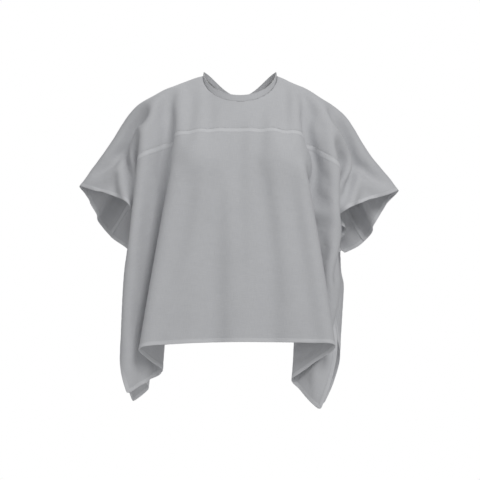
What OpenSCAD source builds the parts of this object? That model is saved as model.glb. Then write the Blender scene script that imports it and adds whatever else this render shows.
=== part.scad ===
// Barber cape: a rectangle of white cotton with a neck hole, hung on the shoulders.
// Millimetres. Origin at the middle of the neck opening, X to the side, front towards -Y, Z up.
// The cloth is drawn as it hangs: it falls from a ring on the shoulders in straight folds.

/* [Cloth] */
// half of the full width of the flat cape, side hem to side hem
half_w = 408; // [320:1:500]
// flat length from the shoulder line to the front hem
front_len = 561; // [460:1:740]
// flat length from the shoulder line to the back hem
back_len = 585; // [480:1:760]
// flat distance from the shoulder line to the seams under the yoke
yoke_len = 150; // [120:1:190]
// thickness of the cloth
cloth_t = 0.8; // [0.4:0.1:1.5]

/* [Neck] */
// half width of the neck opening at the seam
neck_a = 74; // [60:1:92]
// distance of the front of the neck seam from the middle
neck_front = 68; // [55:1:85]
// distance of the back of the neck seam from the middle
neck_back = 60; // [50:1:75]
// how far the neck seam dips at the front
neck_dip = 53; // [30:1:60]
// how far the neck seam dips at the nape
nape_dip = 43; // [25:1:45]
// half of the gap between the two edges of the back opening
slit_half = 1.5; // [1:0.5:4]

/* [Neckband] */
// height of the standing neckband
band_h = 13; // [9:0.5:18]
// thickness of the outer band and of its lining
band_t = 0.5; // [0.4:0.1:0.8]
// thickness of the stiffening between them
interlining_t = 0.4; // [0.3:0.1:0.8]
// length of the closing tab beyond the end of the band
tab_len = 36; // [30:1:44]
// free space between the closed tab and the band under it
tab_gap = 1.0; // [0.8:0.1:1.6]

/* [Press stud] */
// diameter of the visible cap and of the eyelet behind the band
cap_d = 9.5; // [8:0.5:11]
// diameter of the knob that snaps into the socket
knob_d = 3.4; // [3:0.1:4]
// free space around the knob in the socket
knob_gap = 0.3; // [0.25:0.05:0.5]
// room between the band and the tab that the two halves of a stud take up
stud_room = 2.2; // [1.8:0.1:3]
// diameter of the rivet that joins the two halves
rivet_d = 2.2; // [1.8:0.1:2.6]

/* [Hanging shape] */
// half width of the shoulders that carry the cape
shoulder_half = 190; // [160:1:215]
// drop of the shoulders below the neck seam
shoulder_drop = 57; // [40:1:75]
// angle of the sleeve edge below level
sleeve_slope = 50; // [40:1:58]
// depth of the front of the cloth at its hem
front_depth = 150; // [125:1:175]
// depth of the back of the cloth at its hem
back_depth = 126; // [105:1:150]
// half width of the flat front between its two folds at the hem
front_half = 203; // [175:1:230]
// how much deeper a fold lies than the layer before it
fold_depth = 58; // [45:1:75]
// how far the bust pushes the front out
bust = 14; // [0:1:25]

/* [Hidden] */
white = [0.93, 0.93, 0.94];
metal = [0.78, 0.78, 0.80];

// ---- small helpers ----
function mix(a, b, t) = a * (1 - t) + b * t;
function unit(v) = v / max(norm(v), 1e-9);
function flip(p) = [-p[0], p[1], p[2]];

// ---- where the cloth is held and where it ends ----
// side of the neck, tip of the shoulder, tip of the sleeve
sleeve_run = half_w - neck_a - norm([shoulder_half - neck_a, shoulder_drop]);
tip = [shoulder_half + sleeve_run * cos(sleeve_slope), 0,
       -shoulder_drop - sleeve_run * sin(sleeve_slope)];

// the neck seam: an ellipse seen from above that dips at the front and, more narrowly, at the back
function neck_point(a, side) =
    let (depth = side < 0 ? neck_front : neck_back,
         lift = side < 0 ? -neck_dip * sin(a) : -nape_dip * pow(sin(a), 3.2))
    [neck_a * cos(a), side * depth * sin(a), lift];

// the ring on the shoulders where the folds begin
function ring_point(a, side) =
    let (w = pow(max(cos(a), 0), 0.72),
         s = sin(a),
         depth = side < 0 ? neck_front + 22 : neck_back + 24,
         dip = side < 0 ? neck_dip + 20 : nape_dip + 18)
    [shoulder_half * w, side * depth * pow(s, 0.8), -shoulder_drop * pow(w, 1.5) - dip * pow(s, 2.2)];

// the end of a straight line of cloth of the given length that hangs from a point
function hang(top, x, y, length) =
    [x, y, top[2] - sqrt(max(length * length - pow(x - top[0], 2) - pow(y - top[1], 2), 1))];

// ---- the front: points along the yoke seam, then the same lines at their lower ends ----
// each fold has two lines close together, so that it turns in two steps
drop = front_len - yoke_len;
sy = -front_depth * 0.70;
sz = -neck_dip - (yoke_len - neck_dip - 34) * 0.88;
hy = -front_depth;
f_mid = [0, sy, sz];
f_flat = [65, sy + 3, sz - 2];
f_r1a = [128, sy + 14, sz - 6];
f_r1b = [134, sy + 24, sz - 8];
f_v1a = [127, sy + 38, sz - 12];
f_v1b = [133, sy + 46, sz - 14];
f_r2a = [shoulder_half + 5, sy + 30, sz - 44];
f_r2b = [shoulder_half + 9, sy + 40, sz - 48];
f_v2a = [shoulder_half - 5, sy + 56, sz - 54];
f_v2b = [shoulder_half - 1, sy + 66, sz - 58];
f_edge = [shoulder_half + 22, -0.48 * front_depth, tip[2] - 34];
h_mid = hang(f_mid, 0, hy, drop * 0.975);
h_flat = hang(f_flat, front_half * 0.5, hy - 2, drop * 0.978);
h_r1a = hang(f_r1a, front_half - 3, hy + 2, drop);
h_r1b = hang(f_r1b, front_half + 2, hy + 12, drop);
h_v1a = hang(f_v1a, front_half * 0.76, hy + fold_depth + 4, drop * 1.05);
h_v1b = hang(f_v1b, front_half * 0.76, hy + fold_depth + 16, drop * 1.055);
h_corner = hang(f_r2a, front_half - 20, hy + 24, drop * 1.135);
h_r2 = hang(f_r2b, shoulder_half + 46, hy + 32, drop * 0.90);
h_v2 = hang(f_v2b, shoulder_half - 12, hy * 0.24, drop * 0.46);
h_edge = mix(f_edge, h_v2, 0.5);
front_seam = [f_mid, f_flat, f_r1a, f_r1b, f_v1a, f_v1b, mix(f_v1b, f_r2a, 0.5),
              f_r2a, f_r2b, f_v2a, f_v2b, mix(f_v2b, f_edge, 0.5), f_edge];
front_end = [h_mid, h_flat, h_r1a, h_r1b, h_v1a, h_v1b, mix(h_v1b, h_corner, 0.55),
             h_corner, h_r2, mix(h_r2, h_v2, 0.35), mix(h_r2, h_v2, 0.75), h_v2, h_edge];

// ---- the back: flatter, and its sleeve edge drops more steeply ----
back_drop = back_len - yoke_len;
by = back_depth * 0.78;
bz = -neck_dip - (yoke_len - neck_dip - 20) * 0.66;
b_mid = [slit_half, by, bz];
b_flat = [58, by - 2, bz - 3];
b_r1a = [116, by - 10, bz - 20];
b_r1b = [122, by - 19, bz - 23];
b_v1a = [116, by - 32, bz - 30];
b_v1b = [122, by - 39, bz - 33];
b_r2a = [shoulder_half - 2, by - 26, bz - 74];
b_r2b = [shoulder_half + 2, by - 35, bz - 78];
b_v2a = [shoulder_half - 10, by - 48, bz - 84];
b_v2b = [shoulder_half - 6, by - 56, bz - 90];
b_edge = [tip[0] - 76, back_depth * 0.40, tip[2] - 124];
g_mid = hang(b_mid, slit_half, back_depth - 4, back_drop * 0.985);
g_flat = hang(b_flat, 90, back_depth, back_drop * 0.99);
g_r1a = hang(b_r1a, 172, back_depth - 2, back_drop);
g_r1b = hang(b_r1b, 177, back_depth - 12, back_drop);
g_v1a = hang(b_v1a, 138, back_depth - fold_depth + 6, back_drop * 1.04);
g_v1b = hang(b_v1b, 140, back_depth - fold_depth - 6, back_drop * 1.045);
g_corner = hang(b_r2a, 200, back_depth - 20, back_drop * 1.085);
g_r2 = hang(b_r2b, shoulder_half + 46, back_depth - 26, back_drop * 0.84);
g_v2 = hang(b_v2b, shoulder_half - 8, back_depth * 0.30, back_drop * 0.52);
g_edge = mix(b_edge, g_v2, 0.5);
back_seam = [b_mid, b_flat, b_r1a, b_r1b, b_v1a, b_v1b, mix(b_v1b, b_r2a, 0.5),
             b_r2a, b_r2b, b_v2a, b_v2b, mix(b_v2b, b_edge, 0.5), b_edge];
back_end = [g_mid, g_flat, g_r1a, g_r1b, g_v1a, g_v1b, mix(g_v1b, g_corner, 0.55),
            g_corner, g_r2, mix(g_r2, g_v2, 0.35), mix(g_r2, g_v2, 0.75), g_v2, g_edge];

// angle round the neck of each line, from the middle to the side
line_angle = [90, 74, 57, 55, 52, 50, 36, 24, 22, 20, 18, 15, 12];
lines = len(line_angle);
sleeve_angle = [8, 4];

// ---- the yoke's lines in order: nape, right shoulder, front, left shoulder, nape ----
function half_angles() =
    concat([for (i = [0 : lines - 1]) [line_angle[i], 1]],
           [for (a = sleeve_angle) [a, 1]], [[0, 1]],
           [for (i = [len(sleeve_angle) - 1 : -1 : 0]) [sleeve_angle[i], -1]],
           [for (i = [lines - 1 : -1 : 1]) [line_angle[i], -1]]);
steps = len(sleeve_angle) + 1;
half_outer = concat(back_seam,
                    [for (k = [1 : steps - 1]) mix(b_edge, tip, k / steps) + [6, 0, 0]], [tip],
                    [for (k = [1 : steps - 1]) mix(tip, f_edge, k / steps) + [6, -4, -2]],
                    [for (i = [lines - 1 : -1 : 1]) front_seam[i]]);
half = half_angles();
// the first line runs down the edge of the back opening
function beside_slit(p) = [max(p[0], slit_half), p[1], p[2]];
half_neck = [for (h = half) beside_slit(neck_point(h[0], h[1]))];
half_ring = [for (h = half) beside_slit(ring_point(h[0], h[1]))];
function both(h, mid) = concat(h, [mid], [for (i = [len(h) - 1 : -1 : 0]) flip(h[i])]);
neck_line = both(half_neck, neck_point(90, -1));
ring_line = both(half_ring, ring_point(90, -1));
outer_line = both(half_outer, f_mid);
columns = len(neck_line);
front_first = len(half) - lines + 1;
front_last = columns - 1 - front_first;

// a smooth curve through the points, with two steps from each to the next
function bend(p0, p1, p2, p3, t) =
    (2 * p1 + (p2 - p0) * t + (2 * p0 - 5 * p1 + 4 * p2 - p3) * t * t
     + (3 * p1 - p0 - 3 * p2 + p3) * t * t * t) / 2;
function smooth(p) =
    let (n = len(p))
    [for (i = [0 : 2 * (n - 1)])
        i % 2 == 0 ? p[i / 2]
        : let (k = (i - 1) / 2)
          bend(p[max(k - 1, 0)], p[k], p[k + 1], p[min(k + 2, n - 1)], 0.5)];

// ---- grids of points, their normals, and the solid between two offsets of a grid ----
function cell(g, i, j) =
    let (m = len(g) - 1, n = len(g[0]) - 1)
    unit(cross(g[i][min(j + 1, n)] - g[i][max(j - 1, 0)],
               g[min(i + 1, m)][j] - g[max(i - 1, 0)][j]));
function normals(g) = [for (i = [0 : len(g) - 1]) [for (j = [0 : len(g[0]) - 1]) cell(g, i, j)]];
module shell(g, nrm, low, high) {
    rows = len(g);
    cols = len(g[0]);
    count = rows * cols;
    points = concat(
        [for (i = [0 : rows - 1]) for (j = [0 : cols - 1]) g[i][j] + nrm[i][j] * high],
        [for (i = [0 : rows - 1]) for (j = [0 : cols - 1]) g[i][j] + nrm[i][j] * low]);
    faces = concat(
        [for (i = [0 : rows - 2]) for (j = [0 : cols - 2]) let (a = i * cols + j)
            each [[a, a + 1, a + cols + 1], [a, a + cols + 1, a + cols]]],
        [for (i = [0 : rows - 2]) for (j = [0 : cols - 2]) let (a = count + i * cols + j)
            each [[a, a + cols + 1, a + 1], [a, a + cols, a + cols + 1]]],
        [for (j = [0 : cols - 2]) each [[j, count + j, count + j + 1], [j, count + j + 1, j + 1]]],
        [for (j = [0 : cols - 2]) let (a = (rows - 1) * cols + j)
            each [[a, a + 1, count + a + 1], [a, count + a + 1, count + a]]],
        [for (i = [0 : rows - 2]) let (a = i * cols)
            each [[a, a + cols, count + a + cols], [a, count + a + cols, count + a]]],
        [for (i = [0 : rows - 2]) let (a = i * cols + cols - 1)
            each [[a, count + a, count + a + cols], [a, count + a + cols, a + cols]]]);
    polyhedron(points = points, faces = faces, convexity = 10);
}
// rows between two lines of points
function rows_between(a, b, n) =
    [for (k = [0 : n]) [for (j = [0 : len(a) - 1]) mix(a[j], b[j], k / n)]];

// ---- the yoke ----
neck_s = smooth(neck_line);
ring_s = smooth(ring_line);
outer_s = smooth(outer_line);
yoke_top = rows_between(neck_s, ring_s, 3);
yoke_low = rows_between(ring_s, outer_s, 4);
yoke_grid = concat(yoke_top, [for (i = [1 : len(yoke_low) - 1]) yoke_low[i]]);
yoke_normals = normals(yoke_grid);
yoke_last = len(yoke_grid) - 1;

// ---- a panel: from its part of the yoke's edge to its own hem ----
bulge = bust;
function puff(p) =
    p[1] > -60 ? 0 : bulge * exp(-(pow((abs(p[0]) - 78) / 52, 2) + pow((p[2] + 178) / 60, 2)));
function panel_rows(first, ends, n) =
    [for (k = [0 : n]) [for (j = [0 : len(ends) - 1])
        let (p = mix(outer_s[first + j], ends[j], k / n))
        k == 0 ? p : p + [0, -puff(p), 0]]];
front_start = 2 * front_first;
front_ends = smooth(concat([for (i = [lines - 1 : -1 : 1]) front_end[i]], [h_mid],
                           [for (i = [1 : lines - 1]) flip(front_end[i])]));
front_grid = panel_rows(front_start, front_ends, 9);
front_own = normals(front_grid);
front_normals = [for (i = [0 : len(front_grid) - 1]) [for (j = [0 : len(front_grid[0]) - 1])
    i == 0 ? yoke_normals[yoke_last][front_start + j] : front_own[i][j]]];

// the two halves of the back meet below the opening, so the panel runs through the middle
back_cols = 2 * (lines - 1);
back_top = concat([for (j = [back_cols : -1 : 0]) outer_s[j]],
                  [for (j = [0 : back_cols]) flip(outer_s[j])]);
back_side = smooth(back_end);
back_bottom = concat([for (j = [back_cols : -1 : 0]) back_side[j]],
                     [for (j = [0 : back_cols]) flip(back_side[j])]);
back_grid = rows_between(back_top, back_bottom, 9);
back_own = normals(back_grid);
function back_edge_normal(j) =
    j <= back_cols ? -yoke_normals[yoke_last][back_cols - j]
    : -yoke_normals[yoke_last][len(outer_s) - 1 - (j - back_cols - 1)];
back_normals = [for (i = [0 : len(back_grid) - 1]) [for (j = [0 : len(back_grid[0]) - 1])
    i == 0 ? back_edge_normal(j) : back_own[i][j]]];

// ---- the neckband: three layers that stand on the neck seam ----
function outward(p) =
    let (b = p[1] < 0 ? neck_front : neck_back)
    unit([p[0] / (neck_a * neck_a), p[1] / (b * b), 0]);
band_lean = 0.14;
band_sink = 1;
function band_rows(line, low, high) =
    [for (h = [high, (high + low) / 2, low])
        [for (p = line) p - outward(p) * h * band_lean + [0, 0, h]]];
band_grid = band_rows(neck_s, -band_sink, band_h - band_sink);
band_normals = [for (r = band_grid) [for (j = [0 : len(neck_s) - 1]) outward(neck_s[j])]];
face_gap = 0.45;
outer_at = -face_gap - band_t;
core_at = outer_at - interlining_t;
lining_at = core_at - band_t;

// ---- the closing tab: it hangs on the right end of the band and covers the left end ----
root_x = 14;
tab_low = 0.8;
tab_high = band_h - 2;
hinge_slot = 0.3;
function nape_point(x) = neck_point(acos(x / neck_a), 1);
function nape_line(x0, x1, n) = [for (k = [0 : n]) nape_point(mix(x0, x1, k / n))];
// lines run towards +X, as the band's own lines do at the nape
tab_line = nape_line(root_x - tab_len, root_x, 12);
root_line = nape_line(root_x + hinge_slot, root_x + 8, 3);
tab_grid = band_rows(tab_line, tab_low, tab_high);
tab_normals = [for (r = tab_grid) [for (p = tab_line) outward(p)]];
root_grid = band_rows(root_line, tab_low, tab_high);
root_normals = [for (r = root_grid) [for (p = root_line) outward(p)]];
tab_in = stud_room + tab_gap;
tab_mid = tab_in + band_t;
tab_out = tab_mid + interlining_t;
tab_top = tab_out + band_t;

// ---- the press studs: cap and socket on the tab, knob and eyelet on the band ----
stud_x = [root_x - tab_len * 0.42, root_x - tab_len * 0.81];
stud_z = (tab_low + tab_high) / 2;
flange_t = 0.6;
seat = 0.3;
rivet_gap = 0.05;
// the band is hollow towards the neck, so the flat eyelet stands off it a little more
eyelet_at = lining_at - seat - 0.15;
// a frame at the middle of one stud: its Z axis points away from the neck
module at_studs() {
    for (x = stud_x) {
        p = nape_point(x);
        d = outward(p);
        q = p - d * stud_z * band_lean + [0, 0, stud_z];
        run = nape_point(x - 0.5) - nape_point(x + 0.5);
        out = unit(cross(run, [0, 0, 1] - d * band_lean));
        n = out * sign(out * d);
        translate(q) rotate([0, acos(n[2]), atan2(n[1], n[0])]) children();
    }
}
module rivet_holes() {
    at_studs() translate([0, 0, -6]) cylinder(h = 18, d = rivet_d + 2 * rivet_gap, $fn = 24);
}
module band_layer(low, high) {
    color(white) difference() {
        shell(band_grid, band_normals, low, high);
        rivet_holes();
    }
}
module tab_layer(low, high) {
    color(white) difference() {
        shell(tab_grid, tab_normals, low, high);
        rivet_holes();
    }
}

module yoke() {
    color(white) shell(yoke_grid, yoke_normals, -cloth_t / 2, cloth_t / 2);
}
module front_panel() {
    color(white) shell(front_grid, front_normals, -cloth_t / 2, cloth_t / 2);
}
module back_panel() {
    color(white) shell(back_grid, back_normals, -cloth_t / 2, cloth_t / 2);
}
module neckband_outer() {
    band_layer(outer_at, -face_gap);
}
module neckband_interlining() {
    band_layer(core_at, outer_at);
}
module neckband_lining() {
    band_layer(lining_at, core_at);
}
module tab_root() {
    color(white) shell(root_grid, root_normals, -face_gap, tab_top);
}
module tab_outer() {
    tab_layer(tab_out, tab_top);
}
module tab_interlining() {
    tab_layer(tab_mid, tab_out);
}
module tab_lining() {
    tab_layer(tab_in, tab_mid);
}
// a shallow dome whose rivet passes through the tab into the socket
module stud_cap() {
    low = tab_top + seat;
    color(metal) at_studs() {
        rotate_extrude($fn = 64) polygon([[0, tab_in - seat - 0.25], [rivet_d / 2, tab_in - seat - 0.25],
            [rivet_d / 2, low], [cap_d / 2, low], [cap_d / 2, low + 0.4],
            [cap_d / 2 - 0.7, low + 0.8], [cap_d / 4, low + 1.05], [0, low + 1.1]]);
    }
}
// a ring with a recess that takes the knob, and a thin web under the rivet
module stud_socket() {
    top = tab_in - seat;
    low = top - stud_room * 0.75;
    hole = knob_d / 2 + knob_gap;
    color(metal) at_studs() {
        rotate_extrude($fn = 64) polygon([[rivet_d / 2 + rivet_gap, top - 0.4],
            [hole, top - 0.4], [hole, low], [cap_d * 0.42, low], [cap_d * 0.42, top],
            [rivet_d / 2 + rivet_gap, top]]);
    }
}
// a flange and a knob outside the band, on a rivet that passes through it
module stud_knob() {
    low = -face_gap + seat;
    top = tab_in - seat - 0.4 - 0.6;
    color(metal) at_studs() {
        rotate_extrude($fn = 64) polygon([[0, eyelet_at - flange_t], [rivet_d / 2, eyelet_at - flange_t],
            [rivet_d / 2, low], [cap_d * 0.42, low], [cap_d * 0.42, low + flange_t],
            [knob_d / 2 - 0.25, low + flange_t], [knob_d / 2, top - 0.7], [knob_d / 2, top - 0.3],
            [knob_d / 2 - 0.4, top], [0, top]]);
    }
}
module stud_eyelet() {
    top = eyelet_at;
    color(metal) at_studs() {
        rotate_extrude($fn = 64) polygon([[rivet_d / 2 + rivet_gap, top - flange_t],
            [cap_d * 0.42 - 0.3, top - flange_t], [cap_d * 0.42, top - 0.3], [cap_d * 0.42, top],
            [rivet_d / 2 + rivet_gap, top]]);
    }
}

yoke();
front_panel();
back_panel();
neckband_outer();
neckband_interlining();
neckband_lining();
tab_root();
tab_outer();
tab_interlining();
tab_lining();
stud_cap();
stud_socket();
stud_knob();
stud_eyelet();
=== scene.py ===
# %% [markdown]
# # A barber cape
# The cape is one wide rectangle of white cotton with a hole for the neck. It is sewn from three
# pieces: a yoke over the shoulders, a front panel and a back panel. A standing neckband finishes
# the hole, and a tab with two press studs closes it at the nape.
# Cloth like this has hardly any shape of its own, so it is not modelled as it hangs. The flat
# pattern is laid out first, and then it is dropped on hidden shoulders, where lines drawn down the
# cloth pull its folds to their places.

# %% The frame
import math
import time
import bpy
import numpy as np
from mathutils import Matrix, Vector


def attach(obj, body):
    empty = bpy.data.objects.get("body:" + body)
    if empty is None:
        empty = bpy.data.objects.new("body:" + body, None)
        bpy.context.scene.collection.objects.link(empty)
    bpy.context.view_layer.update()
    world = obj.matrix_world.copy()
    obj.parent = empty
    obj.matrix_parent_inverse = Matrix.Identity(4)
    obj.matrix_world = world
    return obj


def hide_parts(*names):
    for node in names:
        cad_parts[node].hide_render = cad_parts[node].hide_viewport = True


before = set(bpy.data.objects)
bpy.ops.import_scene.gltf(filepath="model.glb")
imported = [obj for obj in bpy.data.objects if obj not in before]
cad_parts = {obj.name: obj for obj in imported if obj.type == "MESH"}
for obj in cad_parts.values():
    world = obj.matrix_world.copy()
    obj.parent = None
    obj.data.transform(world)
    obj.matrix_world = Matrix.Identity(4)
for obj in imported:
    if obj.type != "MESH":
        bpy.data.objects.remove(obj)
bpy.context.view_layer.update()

# %% [markdown]
# ## Camera, light and floor
# The cape hangs free, as on a shop's invisible form. A long lens from straight in front keeps it
# flat and calm. One large soft light comes from the upper right, a weak one from the left and one
# from behind, and a dim even sky fills the shadows. The floor is a pale disc far below the hems,
# which glows a little and fades out towards its rim.

# %% Camera
def aim(thing, place, target):
    """Puts a camera or light at place so that it looks at target."""
    thing.location = place
    thing.rotation_euler = (Vector(target) - Vector(place)).to_track_quat("-Z", "Y").to_euler()

scene = bpy.context.scene
MIDDLE = (0.0, 0.0, -0.324)
lens = bpy.data.cameras.new("camera")
lens.lens = 100
camera = bpy.data.objects.new("camera", lens)
scene.collection.objects.link(camera)
aim(camera, (0.0, -2.667, -0.324), MIDDLE)
scene.camera = camera
scene.view_settings.view_transform = "Standard"

# %% Lights
def soft_box(name, place, size, watts):
    """A square area light, aimed at the middle of the cape."""
    light = bpy.data.lights.new(name, "AREA")
    light.energy, light.size = watts, size
    lamp = bpy.data.objects.new(name, light)
    scene.collection.objects.link(lamp)
    aim(lamp, place, MIDDLE)

soft_box("key_light", (0.9, -2.15, 1.6), 1.0, 28.5)
soft_box("fill_light", (-1.6, -1.9, 0.5), 1.2, 3)
soft_box("rim_light", (-0.4, 2.1, 1.7), 1.4, 20)

sky = bpy.data.worlds.new("sky")
scene.world = sky
sky.use_nodes = True
nodes, links = sky.node_tree.nodes, sky.node_tree.links
dim = nodes["Background"]
dim.inputs["Color"].default_value = (0.97, 0.98, 1.0, 1)
dim.inputs["Strength"].default_value = 0.29
white = nodes.new("ShaderNodeBackground")
white.inputs["Color"].default_value = (1, 1, 1, 1)
white.inputs["Strength"].default_value = 1.0
seen = nodes.new("ShaderNodeLightPath")
both = nodes.new("ShaderNodeMixShader")
links.new(seen.outputs["Is Camera Ray"], both.inputs[0])
links.new(dim.outputs[0], both.inputs[1])
links.new(white.outputs[0], both.inputs[2])
links.new(both.outputs[0], nodes["World Output"].inputs["Surface"])

# %% [markdown]
# ## Finishes as sums of small parts
# A shader is arithmetic on values that vary over the surface. Writing that arithmetic as Python
# expressions keeps it readable, so a small class wraps a node's output, and each operator on it
# adds one Math node.

# %% Shader values
class Value:
    """A number that varies over a surface. Operators on it add Math nodes."""
    def __init__(self, finish, socket):
        self.finish, self.socket = finish, socket

    def math(self, operation, *others, clamp=False):
        values = dict(enumerate((self,) + others))
        return self.finish.add("ShaderNodeMath", {"operation": operation, "use_clamp": clamp},
                               values)

    def __add__(self, other): return self.math("ADD", other)
    def __radd__(self, other): return self.math("ADD", other)
    def __sub__(self, other): return self.math("SUBTRACT", other)
    def __rsub__(self, other): return (self * -1.0).math("ADD", other)
    def __mul__(self, other): return self.math("MULTIPLY", other)
    def __rmul__(self, other): return self.math("MULTIPLY", other)
    def __truediv__(self, other): return self.math("DIVIDE", other)
    def __abs__(self): return self.math("ABSOLUTE")
    def least(self, other): return self.math("MINIMUM", other)
    def most(self, other): return self.math("MAXIMUM", other)
    def wave(self, pitch): return (self * (2 * math.pi / pitch)).math("SINE")
    def held(self): return self.math("MULTIPLY", 1.0, clamp=True)
    def of(self, name): return Value(self.finish, self.socket.node.outputs[name])


class Finish:
    """A material under construction."""
    def __init__(self, name):
        self.material = bpy.data.materials.new(name)
        self.material.use_nodes = True
        self.tree = self.material.node_tree
        self.shader = self.tree.nodes["Principled BSDF"]

    def add(self, kind, settings=None, values=None):
        """Adds a node of that kind, makes its settings, then fills or links its sockets."""
        node = self.tree.nodes.new(kind)
        for name, setting in (settings or {}).items():
            setattr(node, name, setting)
        self.fill(node, values or {})
        return Value(self, next(o for o in node.outputs if o.enabled))

    def fill(self, node, values):
        for name, value in values.items():
            socket = node.inputs[name]
            if isinstance(value, Value):
                self.tree.links.new(value.socket, socket)
            else:
                socket.default_value = value

    def split(self, vector):
        """The three parts of a vector."""
        parts = self.add("ShaderNodeSeparateXYZ", None, {0: vector})
        return parts.of("X"), parts.of("Y"), parts.of("Z")

    def join(self, x, y, z=0.0):
        return self.add("ShaderNodeCombineXYZ", None, {0: x, 1: y, 2: z})

    def noise(self, at, scale, detail=2.0):
        """Smooth random values about 0.5, with that many blobs per metre."""
        return self.add("ShaderNodeTexNoise", {"normalize": True},
                        {"Vector": at, "Scale": scale, "Detail": detail})

    def between(self, factor, one, two):
        """A colour between two colours."""
        node = self.tree.nodes.new("ShaderNodeMix")
        node.data_type = "RGBA"
        self.fill(node, {0: factor, 6: one, 7: two})
        return Value(self, node.outputs[2])

    def bumps(self, height, distance=1.0):
        """A normal bent by a height in metres."""
        return self.add("ShaderNodeBump", None, {"Height": height, "Distance": distance,
                                                  "Strength": 1.0})

    def finish(self, **values):
        self.fill(self.shader, {k.replace("_", " "): v for k, v in values.items()})
        return self.material

# %% Floor
def floor_finish():
    """Pale grey that fades to nothing between 0.7 and 1.2 m from the middle."""
    f = Finish("pale_floor")
    x, y, z = f.split(f.add("ShaderNodeTexCoord").of("Object"))
    reach = (x * x + y * y).math("SQRT")
    grain = f.noise(f.join(x, y), 6.0)
    return f.finish(Base_Color=f.between(grain, (0.86, 0.86, 0.86, 1), (0.9, 0.9, 0.9, 1)),
                    Roughness=0.8, Alpha=((1.2 - reach) / 0.5).held(),
                    Emission_Color=(1, 1, 1, 1), Emission_Strength=0.3)

FLOOR_RADIUS, FLOOR_HEIGHT, FLOOR_SIDES = 1.25, -1.4, 64
turn = np.linspace(0, 2 * np.pi, FLOOR_SIDES + 1)[:-1]
rim = np.stack([FLOOR_RADIUS * np.cos(turn), FLOOR_RADIUS * np.sin(turn),
                np.full(FLOOR_SIDES, FLOOR_HEIGHT)], 1)
sheet = bpy.data.meshes.new("floor")
sheet.from_pydata(rim.tolist(), [], [list(range(FLOOR_SIDES))])
floor = bpy.data.objects.new("floor", sheet)
scene.collection.objects.link(floor)
sheet.materials.append(floor_finish())

# %% [markdown]
# ## The flat pattern
# All sizes are of the cloth lying flat, in metres. Position across is u, from the left side hem to
# the right one. Position along is v: 0 on the shoulder line, positive down the front and negative
# down the back. The pattern is a grid of points about 10 mm apart. Two rows lie exactly on the
# seams under the yoke. No column lies on the centre line, because the back of the yoke is cut
# there, from the neck down to its seam, so that the cape can be put on.

# %% Sizes
HALF_WIDTH = 0.408
FRONT = 0.561
BACK = 0.585
YOKE = 0.150
NECK = 0.074
NECK_FRONT, NECK_BACK, NECK_DIP, NAPE_DIP = 0.068, 0.060, 0.053, 0.043
CUT_FRONT, CUT_BACK = 0.094, 0.065
SLIT = 0.0015

# %% The grid
cells = 81
across = np.linspace(-HALF_WIDTH, HALF_WIDTH, cells + 1)
step = across[1] - across[0]

def even(low, high):
    """Rows from low to high, about one step apart, without the last."""
    return np.linspace(low, high, int(round((high - low) / step)) + 1)[:-1]

along = np.concatenate([even(-BACK, -YOKE), even(-YOKE, YOKE), even(YOKE, FRONT), [FRONT]])
v, u = np.meshgrid(along, across, indexing="ij")

# the neck hole is an oval; points near it move onto it, and points inside it are left out
middle_v, radius_v = (CUT_FRONT - CUT_BACK) / 2, (CUT_FRONT + CUT_BACK) / 2
oval = np.hypot(u / NECK, (v - middle_v) / radius_v)
cloth = oval >= 1 - 0.35 * step / radius_v
neck = cloth & (oval < 1 + 0.65 * step / radius_v)
u[neck] = u[neck] / oval[neck]
v[neck] = (v[neck] - middle_v) / oval[neck] + middle_v
# the two columns beside the cut lie close to it
beside = (np.abs(u) < 0.6 * step) & (v < -0.5 * CUT_BACK) & (v > -YOKE + 0.4 * step)
u[beside] = np.sign(u[beside]) * SLIT
print("pattern of", int(cloth.sum()), "points,", round(step * 1000, 1), "mm apart")

# %% [markdown]
# ## Links between the points
# Cotton hardly stretches, shears a little and bends easily. So neighbours along a thread are pulled
# to their distance, diagonal neighbours half as hard, and points two apart only weakly resist coming
# closer. Links that share no point can be put right together, as one array, so they are sorted
# into sets by row and column. The sides are let out lengthwise, by up to a tenth at the front
# right, because the corners hang lower than the sides of a plain rectangle would let them.

# %% Links
def link_sets(u, v, cloth):
    """Sets of links as (first points, second points, length, how much each counts, kind)."""
    rows, cols = u.shape
    sets = []

    def add(di, dj, i0, j0, si, sj, kind):
        i = np.arange(i0, rows, si); i = i[(i + di >= 0) & (i + di < rows)]
        j = np.arange(j0, cols, sj); j = j[(j + dj >= 0) & (j + dj < cols)]
        def block(a, b):
            return slice(i[0] + a, i[-1] + a + 1, si), slice(j[0] + b, j[-1] + b + 1, sj)
        one, two = block(0, 0), block(di, dj)
        length = np.hypot(u[one] - u[two], v[one] - v[two])
        there = (cloth[one] & cloth[two]).astype(float)
        if kind == "bend":
            there *= cloth[block(di // 2, dj // 2)]
        sets.append((one, two, length, there, kind))

    for k in (0, 1):
        add(0, 1, 0, k, 1, 2, "thread")
        add(1, 0, k, 0, 2, 1, "thread")
        add(1, 1, k, 0, 2, 1, "bias")
        add(1, -1, k, 1, 2, 1, "bias")
    for k in range(4):
        add(0, 2, 0, k, 1, 4, "bend")
        add(2, 0, k, 0, 4, 1, "bend")
    return sets

outer = np.clip((np.abs(u) - 0.18) / 0.22, 0, 1)
EASE_RIGHT, EASE_LEFT, EASE_BACK = 0.104, 0.046, 0.02
give = np.where(v > 0, np.where(u > 0, EASE_RIGHT, EASE_LEFT), EASE_BACK) * outer
sets = link_sets(u, v * (1 + give), cloth)
print(len(sets), "sets of links")

# %% [markdown]
# ## The hidden form
# A customer is left out, so the cape hangs on a plain form that is never shown: a neck, a chest,
# shoulders and upper arms built from balls and tapered rods. The distance from a point to such a
# shape is one formula, which makes it quick to push a whole cloth out of it.

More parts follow.
